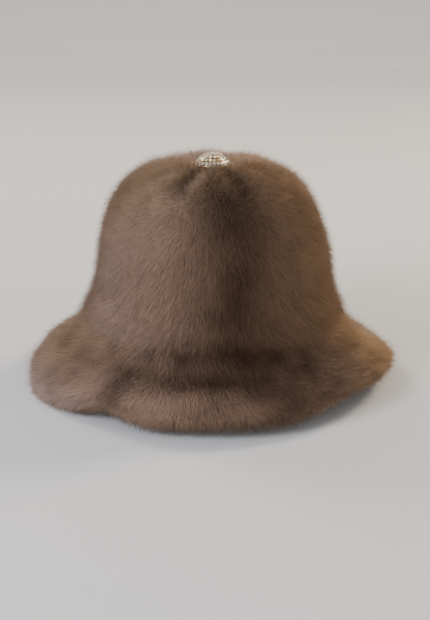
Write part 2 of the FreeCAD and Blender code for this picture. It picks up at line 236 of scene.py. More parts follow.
# Top of the brim's underfur from the seam to the edge: shares of the way out and of the way down.
BRIM_LINE = np.array([
    (-0.07, -0.10), (0.30, 0.29), (0.665, 0.63), (0.91, 0.87), (1.0, 0.97), (0.972, 1.05)])
# Underside, from the seam to the edge.
FACING_LINE = np.array([(-0.10, 0.12), (0.19, 0.41), (0.54, 0.72), (0.79, 0.94), (0.955, 1.04)])
# Canvas between the two furs.
CANVAS_LINE = 0.42 * BRIM_LINE[:5] + 0.58 * FACING_LINE
# Waves of the brim's edge: azimuth, spread in degrees, lift and outward push in millimetres.
BRIM_WAVES = [
    (180, 24, 0.0, 2.5), (206, 19, -9.0, 4.0), (236, 11, 7.0, -6.0), (272, 22, 6.5, 0.5),
    (312, 17, 9.5, -2.5), (334, 22, 9.5, 0.0), (357, 17, 4.0, 1.0), (88, 18, 5.0, -2.0),
    (155, 14, 4.0, 0.0),
]
# Gathers of the fur round the ornament: azimuth, spread in degrees, depth in millimetres.
GATHERS = [(248, 9, 6.0), (291, 7, 5.0), (330, 10, 3.5), (22, 9, 4.0), (64, 8, 4.5), (118, 10, 4.0),
           (172, 9, 5.0), (212, 8, 3.0)]

crown_top = crown_high[2]
seam_height = crown_low[2] + 1.5 * MM    # seam between the crown and the brim
seam_half_width = crown_half_width * 0.925
edge_half_width = 149 * MM               # edge of the brim before its waves
edge_height = 9.5 * MM
floor_height = min(0.0, cad_bounds[0][2])
STRIPES = [(280, 0.74), (10, 0.35), (100, 0.66), (190, 0.48)]    # of the pelts: azimuth, depth
STRIPE_SPREAD = 17
BRIM_SEAM = 236                          # azimuth of the brim pelts' seam, left of the front
CREASE = (1.38, 0.32)                    # station of the crease round the brim, and its spread


def oval(half_width, azimuth):
    """Distance from the axis to the oval of a half width, in the direction of an azimuth: the polar
    form of an ellipse whose half depth is the half width plus the head oval's extra length."""
    angle = np.radians(azimuth)
    half_depth = half_width + oval_extra * np.minimum(1.0, half_width / band_half_width)
    return half_width * half_depth / np.hypot(half_depth * np.cos(angle), half_width * np.sin(angle))


def placed(half_width, height, azimuth):
    """Points at an azimuth on the ovals of given half widths and heights."""
    radius = oval(np.maximum(half_width, 1e-6), azimuth)
    angle = np.radians(azimuth)
    return np.stack([radius * np.cos(angle), radius * np.sin(angle), height + 0 * angle], -1)


def crown_surface(azimuth, station):
    """Crown's underfur at an azimuth, from station 0 in the dimple to station 10 at the hem: a
    meridian swept round the head oval, flatter at both sides and pinched by the gathers."""
    half_width = smooth(CROWN_LINE[:, 0], station) * crown_half_width
    height = smooth(CROWN_LINE[:, 1], station) * crown_top
    sides = np.cos(np.radians(azimuth)) ** 2 + 0.6 * hump(azimuth, 0, 50)
    shoulder = -2.5 * MM * sides * bell(station, 4.9, 1.8)
    shoulder = shoulder - 3.4 * MM * hump(azimuth, 180, 50) * bell(station, 7, 1.6)
    half_width = half_width + shoulder + 1.2 * MM * (soft_noise(azimuth / 24, station * 0.9, 3) - 0.5)
    pinch = sum(depth * MM * hump(azimuth, centre, spread) for centre, spread, depth in GATHERS)
    reach = bell(station, 2.4, 1.15)
    ridge = 1.5 * MM * np.sin(np.radians(azimuth * 7 + 40)) * reach
    return placed(half_width, height - pinch * reach + ridge, azimuth)


def brim_sheet(line, azimuth, station):
    """Surface that falls from the brim's seam to its edge along a line. Bells round the circle lift its
    edge and push it outwards, by the square of the way out, and both sides sag half way."""
    lift, push = (sum(row[kind] * MM * hump(azimuth, *row[:2]) for row in BRIM_WAVES) for kind in (2, 3))
    out = smooth(line[:, 0], station)
    down = smooth(line[:, 1], station)
    bend = np.clip(out, 0, 1) ** 2
    half_width = seam_half_width + (edge_half_width - seam_half_width) * out + push * bend
    sag = 12.0 * MM * (hump(azimuth, 18, 38) + 0.9 * hump(azimuth, 162, 36)) * bell(out, 0.50, 0.30)
    height = seam_height - (seam_height - edge_height) * down + lift * bend - sag
    return placed(half_width, np.maximum(height, floor_height + 2 * MM), azimuth)


def brim_surface(azimuth, station):
    """Upper face of the brim's underfur, from station 0 under the crown's hem to 5 round the edge: it
    is thicker above and below the crease that runs round the front, and soft dents cross it."""
    front = 0.25 + 0.75 * hump(azimuth, 257, 25)
    rolls = 1.6 * bell(station, 0.75, 0.35) + 2.0 * bell(station, 2.6, 0.9) - 3.0 * bell(station, *CREASE)
    dents = 3.2 * (soft_noise(azimuth / 11, station * 1.1, 31) - 0.5) * bell(station, 2.4, 1.5)
    thicker = (rolls * front + dents)[..., None] * MM
    angle = np.radians(azimuth)
    outwards = np.stack([0.7 * np.cos(angle), 0.7 * np.sin(angle), 0.7 + 0 * angle], -1)
    return brim_sheet(BRIM_LINE, azimuth, station) + outwards * thicker


def canvas_surface(azimuth, station):
    """Canvas between the brim's upper fur and its facing."""
    return brim_sheet(CANVAS_LINE, azimuth, station)


def facing_surface(azimuth, station):
    """Lower face of the brim's short underside fur, from station 0 at the opening to 4 at the edge."""
    return brim_sheet(FACING_LINE, azimuth, station)


# ---- colour of the fur, as a tone from dark to light and a warmth from grey to golden; both carry the pelts' own pattern and painted light and shade ----
# Patches of the crown: azimuth, spread, station, spread, how much lighter, how much more golden. All three
# are painted light and shade.
CROWN_PATCHES = [
    (205, 40, 3.6, 1.3, -0.26, 0.40),    # left shoulder, golden from painted warm light
    (266, 40, 0.5, 1.1, -0.60, 0.0),     # painted shade in the hollow in front of the ornament
    (272, 40, 10.0, 0.9, -0.14, 0.0),    # painted shade at the front of the hem, where the brim's fur meets it
]
# The same for the brim. Most are painted light and shade.
BRIM_PATCHES = [
    (276, 31, 0.45, 0.55, -0.36, 0.0),   # painted shadow under the crown's fur
    (276, 31, 1.10, 0.70, -0.14, 0.0),   # front, above the crease
    (258, 24, *CREASE, -0.26, 0.0),      # painted shade in the crease
    (261, 18, 2.7, 1.1, 0.44, 0.0),      # roll below the crease, lighter from painted light
    (279, 7, 2.9, 0.6, 0.30, 0.0),       # painted highlight on a tuft of the roll
    (295, 18, 2.8, 2.2, -0.24, 0.0),     # painted shade at the front right
    (238, 4.5, 2.6, 1.0, -0.55, 0.0),    # painted shade in the fold between the front and the left lobe
    (207, 26, 3.6, 1.3, 0.54, -0.50),    # left lobe, lighter and greyer from painted cool light
    (190, 24, 1.0, 1.0, 0.0, 0.30),      # above it
    (350, 26, 4.8, 0.3, 0.30, 0.0),      # paler band along the edge on the right
]


def patches(table, azimuth, station):
    """How much lighter and more golden a table's patches make a place: a sum of bells."""
    shares = [hump(azimuth, *row[:2]) * bell(station, *row[2:4]) for row in table]
    return [sum(share * row[column] for share, row in zip(shares, table)) for column in (4, 5)]


def crown_shade(azimuth, station):
    """Dark stripe down the middle of each pelt and paler flanks, with painted light and shade: the left front
    lighter and greyer, the right front darker and golden, the top golden in front and lighter and greyer
    behind from a painted sheen, and darker gathers: bells round the circle and along the meridian, with soft
    blotches."""
    stripe = sum(depth * hump(azimuth, centre, STRIPE_SPREAD) for centre, depth in STRIPES)
    # Painted light and shade: the left front flank lighter, the right front flank darker.
    flank = 0.72 + 0.10 * hump(azimuth, 225, 34) - 0.13 * hump(azimuth, 318, 32)
    tone = flank * (1 - stripe * np.clip(0.35 + station / 7, 0, 1))
    # Painted light: greyer under the cool light on the left front, golden under the warm light on the right.
    warmth = 0.34 - 0.16 * hump(azimuth, 222, 30) + 0.45 * hump(azimuth, 340, 40)
    # Painted light on the top: golden in front under warm light, and lighter and greyer behind from a painted
    # sheen.
    top = bell(station, 1.8, 1.6)
    behind = hump(azimuth, 90, 70)
    # Painted shade: darker in the gathers round the ornament.
    pinch = sum(depth / 6 * hump(azimuth, centre, spread) for centre, spread, depth in GATHERS)
    lighter, warmer = patches(CROWN_PATCHES, azimuth, station)
    tone = tone * (1 - top) + top * (0.46 + 0.3 * behind) - 0.45 * pinch * bell(station, 2.4, 1.3) + lighter
    warmth = warmth * (1 - top) + top * (0.70 - 0.60 * behind) + warmer
    blotch = soft_noise(azimuth / 9, station * 1.3, 41) - 0.5
    return tone + 0.16 * blotch, warmth + 0.1 * blotch


def brim_shade(azimuth, station):
    """Darker along the crease round the brim, partly the pelts' dark stripe and partly painted shade in the
    crease, a left side greyer under painted cool light and a right side lighter and golden under painted warm
    light: a plain shade with patches and soft blotches."""
    left, right = hump(azimuth, 207, 26), hump(azimuth, 350, 26)
    lighter, warmer = patches(BRIM_PATCHES, azimuth, station)
    # Painted light and shade: darker along the crease, and the right side lighter and golden under painted
    # warm light.
    tone = 0.52 - 0.06 * bell(station, *CREASE) - 0.06 * left + 0.26 * right + lighter
    warmth = 0.36 + 0.50 * right + warmer
    blotch = soft_noise(azimuth / 6, station * 1.6, 43) - 0.5
    return tone + 0.30 * blotch, warmth + 0.15 * blotch


def facing_shade(azimuth, station):
    """Dark all over, a little lighter at the edge."""
    return 0.10 + 0.12 * bell(station, 4.0, 0.8) + 0 * azimuth, 0.55 + 0 * azimuth


# How the guard hairs vary: the drift of the pile's direction, the spread of single hairs round it, their
# lean, and the strays, which stand up and are longer.
SWIRL_DRIFT = np.radians(26)
SWIRL_SPREAD = np.radians(7)
LEAN_SPREAD = np.radians(6)
LEAN_LIMITS = np.radians(6), np.radians(80)
STRAY_SHARE = 0.15
STRAY_LIFT = np.radians(24)
STRAY_EXTRA = 0.30
ROOT_DEPTH = 1.2 * MM
UNDERFUR_STEP = 2.5      # degrees round the hat between the underfur's points
UNDERFUR_COLUMNS = 45    # its points along a meridian


def slopes(surface, azimuth, station):
    """Points of a surface with its direction down the meridian, round the axis, and outwards."""
    step = 1e-3
    here = surface(azimuth, station)
    down = unit(surface(azimuth, station + step) - surface(azimuth, station - step))
    round_axis = unit(surface(azimuth + step, station) - surface(azimuth - step, station))
    outwards = unit(np.cross(down, round_axis))
    return here, down, round_axis, outwards


def scatter(surface, azimuths, stations, count, rng):
    """Random places spread evenly over a surface's area, found from the areas of a fine grid."""
    across = np.linspace(*azimuths, 161)
    along = np.linspace(*stations, 161)
    grid = surface(across[:, None], along[None, :])
    side = grid[1:, :-1] - grid[:-1, :-1]
    rise = grid[:-1, 1:] - grid[:-1, :-1]
    area = np.linalg.norm(np.cross(side, rise), axis=-1).ravel()
    cell = rng.choice(area.size, count, p=area / area.sum())
    row, column = np.divmod(cell, len(along) - 1)
    azimuth = across[row] + rng.random(count) * (across[1] - across[0])
    station = along[column] + rng.random(count) * (along[1] - along[0])
    return azimuth, station


def columns_for(tone, warmth):
    """Column of the look-up map for a tone and a warmth."""
    tone_step = np.clip(np.round(tone * (TONES - 1)), 0, TONES - 1)
    warmth_step = np.clip(np.round(warmth * (WARMTHS - 1)), 0, WARMTHS - 1)
    return tone_step * WARMTHS + warmth_step


def map_corners(column, across, heights):
    """UVs of a triangle's corners in a column of the look-up map: shares of its width, and heights."""
    return np.stack([np.stack([(column + share) / COLUMNS, height + 0 * column], -1)
                     for share, height in zip(across, heights)], 1)


def hair_arrays(surface, shade, azimuths, stations, count, groom, rng):
    """Vertices, triangles and corner UVs of many hairs: each is a thin three-sided spike that leans
    along the pile, with its root just under the underfur and its tip drawn towards its tuft's."""
    azimuth, station = scatter(surface, azimuths, stations, count, rng)
    here, down, round_axis, outwards = slopes(surface, azimuth, station)
    swirl = groom["swirl"](azimuth, station)
    swirl = swirl + SWIRL_DRIFT * (soft_noise(azimuth / 7, station * 1.6, 11) - 0.5)
    swirl = swirl + SWIRL_SPREAD * rng.standard_normal(count)
    stray = rng.random(count) < STRAY_SHARE
    lean = groom["lean"](azimuth, station) + LEAN_SPREAD * rng.standard_normal(count)
    lean = np.clip(lean + stray * STRAY_LIFT, *LEAN_LIMITS)[:, None]
    flat = down * np.cos(swirl)[:, None] + round_axis * np.sin(swirl)[:, None]
    along = flat * np.cos(lean) + outwards * np.sin(lean)
    length = groom["length"] * (0.72 + 0.45 * rng.random(count)) * groom["long"](azimuth, station)
    tip = here + along * (length * (1 + STRAY_EXTRA * stray))[:, None]

    width = groom["clump"]
    cell = np.floor(here / width + 0.35 * soft_noise(azimuth, station * 8, 5)[:, None])
    shift = (cell + 0.5) * width - here
    shift = shift - outwards * np.sum(shift * outwards, -1, keepdims=True)    # stays in the surface
    tip = tip + shift * ((0.25 + 0.5 * hashed(*cell.T)) * (1 - 0.8 * stray))[:, None]
    tip[:, 2] = np.maximum(tip[:, 2], floor_height + 0.3 * MM * rng.random(count))
    root = here - outwards * ROOT_DEPTH

    along = unit(tip - root)
    circle = circles(along, unit(np.cross(along, outwards)), 3, rng.random(count) * 2 * np.pi)
    thick = groom["radius"] * (0.7 + 0.6 * rng.random(count)) * (1 - 0.45 * stray)
    corners = root[:, None] + thick[:, None, None] * circle
    verts = np.concatenate([corners, tip[:, None]], 1).reshape(-1, 3)
    faces = np.arange(count)[:, None, None] * 4 + np.array([(1, 0, 3), (2, 1, 3), (0, 2, 3)])

    tone, warmth = shade(azimuth, station)
    tuft = hashed(*cell.T)
    tone = tone * (0.80 + 0.40 * tuft) + 0.05 * rng.standard_normal(count)
    warmth = warmth + 0.12 * (tuft - 0.5) + 0.08 * rng.standard_normal(count)
    face_uv = map_corners(columns_for(tone, warmth), (0.94, 0.06, 0.5), (0.02, 0.02, 0.98))
    uv = np.repeat(face_uv[:, None], 3, 1)
    return verts, faces.reshape(-1, 3), uv.reshape(-1, 2)


def layer_arrays(surface, azimuths, stations, thickness, rows, columns, whole=False, bumps=None):
    """Closed thin layer between a surface and itself moved inwards: its vertices, its quads in the order
    that points outwards, and each corner's row and column. A whole one goes round and meets itself."""
    across = np.linspace(*azimuths, rows, endpoint=not whole)[:, None]
    along = np.linspace(*stations, columns)
    azimuth, station = across + 0 * along, 0 * across + along
    here, _, _, outwards = slopes(surface, azimuth, station)
    outer = here if bumps is None else here + outwards * bumps(azimuth, station)[..., None]
    loop = np.concatenate([outer, (here - outwards * thickness)[:, ::-1]], 1)
    wide = 2 * columns
    row, column = np.meshgrid(np.arange(rows if whole else rows - 1), np.arange(wide), indexing="ij")
    corner_rows = row.reshape(-1, 1) + (0, 0, 1, 1)
    corner_columns = column.reshape(-1, 1) + (0, 1, 1, 0)
    if not whole:
        rung = np.arange(columns - 1)
        ends = np.stack([rung, rung + 1, wide - 2 - rung, wide - 1 - rung], -1)
        corner_columns = np.concatenate([corner_columns, ends, ends[:, ::-1]])
        corner_rows = np.concatenate([corner_rows, 0 * ends, 0 * ends + rows - 1])
    quads = (corner_rows % rows) * wide + corner_columns % wide
    verts = loop.reshape(-1, 3)
    halves = np.concatenate([quads[:, [0, 1, 2]], quads[:, [0, 2, 3]]])
    volume = np.sum(verts[halves[:, 0]] * np.cross(verts[halves[:, 1]], verts[halves[:, 2]]))
    order = -1 if volume < 0 else 1
    return verts, quads[:, ::order], corner_rows[:, ::order], corner_columns[:, ::order]


def underfur_arrays(surface, shade, azimuths, stations, inset):
    """Vertices, triangles and corner UVs of a pelt's underfur: a closed layer with soft bumps on it."""
    rows = int(abs(azimuths[1] - azimuths[0]) / UNDERFUR_STEP) + 1
    columns = UNDERFUR_COLUMNS

    def bumps(azimuth, station):
        return 0.7 * MM * (soft_noise(azimuth * 1.2, station * 6, 21) - 0.5)

    verts, quads, _, _ = layer_arrays(surface, azimuths, stations, inset, rows, columns, bumps=bumps)
    triangles = np.concatenate([quads[:, [0, 1, 2]], quads[:, [0, 2, 3]]])
    row, place = np.divmod(triangles[:, 0], 2 * columns)
    place = np.minimum(place, 2 * columns - 1 - place)
    tone, warmth = shade(np.linspace(*azimuths, rows)[row], np.linspace(*stations, columns)[place])
    uv = map_corners(columns_for(tone, warmth), (0.1, 0.9, 0.5), (0.10, 0.10, 0.22))
    return verts, triangles, uv.reshape(-1, 2)


def pelt(name, node, surface, shade, azimuths, stations, count, groom, rng, inset=1.5 * MM):
    """One dressed pelt: its underfur and the guard hairs that stand on it, as one piece."""
    under = underfur_arrays(surface, shade, azimuths, stations, inset)
    hairs = hair_arrays(surface, shade, azimuths, stations, count, groom, rng)
    hairs = hairs[0], hairs[1] + len(under[0]), hairs[2]
    verts, faces, uv = (np.concatenate(both) for both in zip(under, hairs))
    stand_for(put_mesh(name, verts, faces, mink_material(), uv), node)


def cloth_layer(name, node, surface, azimuths, stations, thickness, rows, columns, material):
    """Thin piece of cloth that stands for a CAD node, with its UV map in metres of cloth: round the hat
    along U and down it along V. Corners that fall in one place are joined."""
    whole = abs(azimuths[1] - azimuths[0]) == 360
    verts, quads, row, column = layer_arrays(surface, azimuths, stations, thickness, rows, columns, whole)
    wide = 2 * columns
    grid = verts.reshape(rows, wide, 3)
    round_step = np.linalg.norm(np.roll(grid, -1, 0)[:-1] - grid[:-1], axis=-1).mean(0).max()
    steps = np.linalg.norm(np.diff(grid, axis=1), axis=-1).mean(0)
    down = np.concatenate([[0], np.cumsum(steps), [np.sum(steps) + thickness]])
    uv = np.stack([row * round_step, down[column]], -1).reshape(-1, 2)
    piece = put_mesh(name, verts, quads, material, uv, map_name="cloth")
    edit = bmesh.new()
    edit.from_mesh(piece.data)
    bmesh.ops.remove_doubles(edit, verts=edit.verts, dist=1e-5)
    edit.to_mesh(piece.data)
    edit.free()
    return stand_for(piece, node)


def stand_for(piece, node):
    """Hides the CAD node that a piece stands for, and gives back the piece."""
    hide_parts(node)
    return piece


# ---- materials ----
def both_ways(operation):
    """Methods of one operator on Value, plain and reflected, that add its Math node."""
    return (lambda self, other: self.step(operation, self, other),
            lambda self, other: self.step(operation, other, self))


class Value:
    """A number's socket that is used in expressions."""
    __add__, __radd__ = both_ways("ADD")
    __sub__, __rsub__ = both_ways("SUBTRACT")
    __mul__, __rmul__ = both_ways("MULTIPLY")
    __truediv__, __rtruediv__ = both_ways("DIVIDE")
    __pow__, __rpow__ = both_ways("POWER")

    def __init__(self, board, socket):
        self.board = board
        self.socket = socket

    def step(self, operation, *values):
        """Adds the Math node of an operation, on this value alone if no values are given."""
        return self.board.value("ShaderNodeMath", {"operation": operation}, dict(enumerate(values or [self])))


class Board:
    """The node tree of one material, with its shader already in place."""

    def __init__(self, name, **constants):
        self.material = bpy.data.materials.new(name)
        self.material.use_nodes = True
        self.tree = self.material.node_tree
        self.shader = next(node for node in self.tree.nodes if node.type == "BSDF_PRINCIPLED")
        self.finish(**constants)

    def node(self, kind, settings=None, inputs=None, output=0):
        """Adds a node of a type, sets its settings first and then its sockets, and returns an output."""
        made = self.tree.nodes.new(kind)
        for key, value in (settings or {}).items():
            if key == "stops":
                ramp = made.color_ramp
                while len(ramp.elements) < len(value):
                    ramp.elements.new(1.0)
                for element, (place, colour) in zip(ramp.elements, value):
                    element.position = place
                    element.color = (*colour, 1.0)
            else:
                setattr(made, key, value)
        for key, value in (inputs or {}).items():
            self.feed(made.inputs[key], value)
        return made.outputs[output]

    def feed(self, socket, value):
        """Links a socket or sets its value; a colour is given without its alpha."""
        if isinstance(value, Value):
            value = value.socket
        if isinstance(value, bpy.types.NodeSocket):
            self.tree.links.new(value, socket)
        else:
            socket.default_value = (*value, 1.0) if socket.type == "RGBA" else value

    def value(self, kind, settings=None, inputs=None, output=0):
        """The same as node, for an output that is a number used in expressions."""
        return Value(self, self.node(kind, settings, inputs, output))

    def solid(self):
        """Places in the piece's own space, in metres."""
        return self.node("ShaderNodeTexCoord", output="Object")

    def axis(self, places, index):
        """One coordinate of some places."""
        return self.value("ShaderNodeSeparateXYZ", None, {0: places}, index)

    def noise(self, scale, detail, distortion=0.0, places=None):
        """Cloudy noise from 0 to 1."""
        return self.value("ShaderNodeTexNoise", None, {
            "Vector": places or self.solid(), "Scale": scale, "Detail": detail, "Distortion": distortion})

    def bump(self, strength, distance, height):
        """Normal of a surface that a height, in shares of a distance, raises."""
        return self.node("ShaderNodeBump", None,
                         {"Strength": strength, "Distance": distance, "Height": height})

    def mix(self, factor, first, second):
        """Colour between two colours."""
        return self.node("ShaderNodeMix", {"data_type": "RGBA"}, {0: factor, 6: first, 7: second}, 2)

    def finish(self, **sockets):
        """Feeds the shader's sockets and gives the material."""
        for name, value in sockets.items():
            self.feed(self.shader.inputs[name.replace("_", " ")], value)
        return self.material


def mink_material():
    """Fur read from the look-up map: the column says how light and how golden a hair is, and the height
    in it how far along the hair a place lies, from the dark root to the paler tip."""
    if "mink" in bpy.data.materials:
        return bpy.data.materials["mink"]
    fur = bpy.context.scene.hat_fur
    board = Board("mink", Roughness=0.5, Sheen_Weight=0.03, Sheen_Roughness=0.4, Specular_IOR_Level=0.30)
    places = board.node("ShaderNodeUVMap", {"uv_map": "OFBake"})
    height = board.axis(places, 1)
    column = (board.axis(places, 0) * COLUMNS).step("FLOOR")
    tone_step = (column / WARMTHS).step("FLOOR")
    warmth = (column - tone_step * WARMTHS) / (WARMTHS - 1)
    body = board.mix(tone_step / (TONES - 1), fur.dark, board.mix(warmth, fur.grey, fur.gold))
    return board.finish(Base_Color=board.mix(1 - (0.42 + 0.58 * height ** 0.8), body, (0.012, 0.006, 0.003)))


def woven(name, dark, light, pitch, ribs=(1.0, 1.0), mapped=True, depth=0.5, rough=0.5, **constants):
    """Cloth: two sets of threads as sine waves across each other, in metres of cloth, or of the piece's
    own space where it has no map; ribs says how strongly each set shows."""
    board = Board(name, **constants)
    places = board.node("ShaderNodeUVMap", {"uv_map": "cloth"}) if mapped else board.solid()
    warp, weft = ((board.axis(places, axis) * (2 * math.pi / pitch)).step("SINE") * strength
                  for axis, strength in zip((0, 1 if mapped else 2), ribs))
    weave = (warp * weft if min(ribs) > 0 else warp + weft) * 0.5 + 0.5
    cloudy, slub = board.noise(55.0, 4.0), board.noise(900.0, 2.0)
    return board.finish(
        Base_Color=board.mix(cloudy * 0.5 + weave * 0.3 + slub * 0.2, dark, light),
        Roughness=cloudy * 0.14 + (rough - 0.07),
        Normal=board.bump(depth, pitch * 0.35, weave * 0.8 + slub * 0.4))


def fibrous(name, dark, light, scale, depth=0.6, **constants):
    """Felted or fluffy layer: two sizes of noise, the finer one stretched into short fibres."""
    board = Board(name, **constants)
    stretched = board.node("ShaderNodeMapping", None, {"Vector": board.solid(), "Scale": (1.0, 1.0, 0.3)})
    fibres = board.noise(scale, 6.0, 1.2, stretched)
    return board.finish(Base_Color=board.mix(board.noise(scale * 0.1, 3.0) * 0.5 + fibres * 0.5, dark, light),
                        Normal=board.bump(depth, 0.6 * MM, fibres))


def metal(name, dark, light, rough):
    """Plated metal: fine scratches and a soft change of colour where the plating has worn."""
    board = Board(name, Metallic=1.0)
    worn = board.noise(180.0, 5.0)
    return board.finish(Base_Color=board.mix(worn, dark, light), Roughness=worn * 0.18 + (rough - 0.09),
                        Normal=board.bump(0.25, 0.1 * MM, board.noise(1500.0, 3.0)))


def crystal(name):
    """Clear cut stone with a coating that throws champagne, rose and pale green, cell by cell; its brightest
    cells glow through the emission as painted sparkle.
    """
    board = Board(name, Transmission_Weight=0.35, IOR=1.75, Coat_Weight=1.0, Coat_Roughness=0.02,
                  Emission_Strength=0.9)
    cells = board.node("ShaderNodeTexVoronoi", None, {"Vector": board.solid(), "Scale": 620.0}, "Color")
    pick = board.value("ShaderNodeSeparateColor", None, {0: cells})
    tint = board.node("ShaderNodeValToRGB", {"stops": [
        (0.0, (0.62, 0.46, 0.16)), (0.28, (0.95, 0.90, 0.82)), (0.50, (0.80, 0.50, 0.46)),
        (0.70, (0.34, 0.50, 0.40)), (1.0, (0.95, 0.78, 0.42))]}, {0: pick})
    # Painted sparkle: the brightest cells glow through the emission, though the stone is no lamp.
    glints = board.node("ShaderNodeValToRGB", {"stops": [
        (0.0, (0.0, 0.0, 0.0)), (0.72, (0.02, 0.015, 0.01)), (0.86, (0.35, 0.40, 0.48)),
        (1.0, (1.0, 1.0, 1.0))]}, {0: pick})
    facets = board.value("ShaderNodeTexVoronoi", None, {"Vector": board.solid(), "Scale": 1500.0})
    return board.finish(Base_Color=tint, Emission_Color=glints, Roughness=pick * 0.12 + 0.02,
                        Normal=board.bump(0.5, 0.4 * MM, facets))


def moulded(name, dark, light):
    """Moulded plastic with faint flow marks."""
    board = Board(name, Coat_Weight=0.3)
    flow = board.noise(120.0, 3.0, 2.5)
    return board.finish(Base_Color=board.mix(flow, dark, light), Roughness=flow * 0.2 + 0.3,
                        Normal=board.bump(0.15, 0.2 * MM, flow))


def dress(material, *nodes):
    """Gives CAD nodes that stay as they are a material."""
    for node in nodes:
        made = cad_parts[node].data
        made.materials.clear()
        made.materials.append(material)


# ---- the inside ----
tip_low, tip_high = span("lining_tip")
side_low, side_high = span("lining_side_band")
tip_half_width = (tip_high[0] - tip_low[0]) / 2
opening_half_width = band_half_width - 5 * MM
label_half = {"size_label": 7.5 * MM, "care_label": 14 * MM}
# Lining from the middle of its top to its seam with the side: shares of its half width and height.
TIP_LINE = np.array([(0, 0.90), (0.20, 0.91), (0.40, 0.90), (0.60, 0.79), (0.80, 0.53), (1.0, 0.0)])
# Side of the lining from that seam to the hem: half widths in millimetres beyond the sweatband's own
# outer face, and shares of its height.
SIDE_LINE = np.array([
    (-9.5, 1.0), (-4.8, 0.80), (-2.0, 0.60), (-0.4, 0.42), (1.2, 0.24), (4.0, 0.08), (7.2, 0.005)])
# The same for the sweatband, which lies against the lining.
BAND_LINE = np.array([(-1.9, 0.99), (-1.2, 0.75), (-0.2, 0.5), (1.4, 0.25), (3.6, 0.02)])


def lining_top(azimuth, station):
    """Satin top: its meridian swept round the head oval, with small radial puckers near its seam."""
    half_width = smooth(TIP_LINE[:, 0], station) * tip_half_width
    height = tip_low[2] + smooth(TIP_LINE[:, 1], station) * (tip_high[2] - tip_low[2])
    uneven = 0.25 + soft_noise(azimuth / 14, 0 * azimuth, 63)
    puckers = 0.4 * MM * uneven * np.sin(np.radians(azimuth * 52)) * bell(station, 4.6, 0.5)
    slack = 1.2 * MM * (soft_noise(azimuth / 30, station, 61) - 0.5) * np.clip(station / 2, 0, 1)
    return placed(half_width, height + puckers + slack, azimuth)


def lining_side(azimuth, station):
    """Satin side: its meridian swept round the head oval, with soft upright folds under the seam."""
    half_width = band_half_width - 2 * MM + smooth(SIDE_LINE[:, 0], station) * MM
    height = side_low[2] + smooth(SIDE_LINE[:, 1], station) * (side_high[2] - side_low[2])
    folds = 0.8 * MM * (soft_noise(azimuth / 5, station * 0.4, 62) - 0.5) * bell(station, 1.5, 1.6)
    return placed(half_width + folds, height, azimuth)


def band_face(azimuth, station):
    """Sweatband: a ribbon on edge round the head opening, its upper edge a little loose."""
    half_width = opening_half_width + smooth(BAND_LINE[:, 0], station) * MM
    height = band_low[2] + smooth(BAND_LINE[:, 1], station) * (band_high[2] - band_low[2])
    loose = 0.5 * MM * np.sin(np.radians(azimuth * 5)) * bell(station, 0, 1.0)
    return placed(half_width - loose, height, azimuth)


def wall_half_width(height):
    """Half width of the inside face of the sweatband, and above it of the lining, at a height: straight
    lines between knots."""
    heights = np.array([63.0, 72.0, 82.0, 91.0, 99.9, 100.0, 110.0, 125.0])
    beyond = np.array([3.4, 1.2, -0.4, -1.3, -2.0, 0.2, -1.6, -5.0])
    return opening_half_width + np.interp(height, heights * MM, beyond * MM)


def stitches(name, starts, ends, radius, lift, material):
    """Sewn stitches as one piece: each is a closed tube that arches from its start to its end by half a
    sine wave, thinner at both."""
    sides = 6
    share = np.array([0.0, 0.08, 0.3, 0.5, 0.7, 0.92, 1.0])[:, None]
    wide = np.array([0.35, 0.9, 1.0, 1.0, 1.0, 0.9, 0.35])[:, None, None] * radius
    inwards = -unit(starts * (1, 1, 0))
    path = (starts[:, None] * (1 - share) + ends[:, None] * share
            + inwards[:, None] * (lift * np.sin(np.pi * share)))
    along = unit(ends - starts)
    circle = circles(along, unit(np.cross(along, inwards)), sides)
    verts = path[:, :, None] + circle[:, None] * wide
    cap = np.array([(0, 1, 2, 3), (0, 3, 4, 5)])
    tube = grid_faces(len(share), sides, closed=True)[:, ::-1]
    faces = np.concatenate([tube, cap, cap[:, ::-1] + sides * (len(share) - 1)])
    faces = np.arange(len(starts))[:, None, None] * sides * len(share) + faces
    sewn = put_mesh(name, verts.reshape(-1, 3), faces.reshape(-1, 4), material)


def ring_tube(name, node, surface, station, radius, material):
    """Round wire that follows one line of a surface right round the hat: a circle swept along it."""
    sides = 8
    azimuth = np.arange(0, 360, 1.5)
    centre = surface(azimuth, station + 0 * azimuth)
    along = unit(np.roll(centre, -1, 0) - np.roll(centre, 1, 0))
    circle = circles(along, unit(np.cross(along, (0.0, 0.0, 1.0))), sides)
    verts = (centre[:, None] + radius * circle).reshape(-1, 3)
    faces = grid_faces(len(azimuth) + 1, sides, closed=True) % len(verts)
    stand_for(put_mesh(name, verts, faces[:, ::-1], material), node)


# ---- operators ----
def level(value):
    """Function of azimuth and station that is the same everywhere."""
    return lambda azimuth, station: value + 0 * azimuth


def grooming(fur, **changes):
    """How a pelt's hairs lie, with a maker's changes: their turn from the meridian and their lean as
    functions of the place, their length and how it varies, their radius and the width of tufts."""
    return {"swirl": level(0.0), "lean": level(fur.lean), "length": fur.hair_length, "long": level(1.0),
            "radius": fur.hair_radius, "clump": fur.clump, **changes}


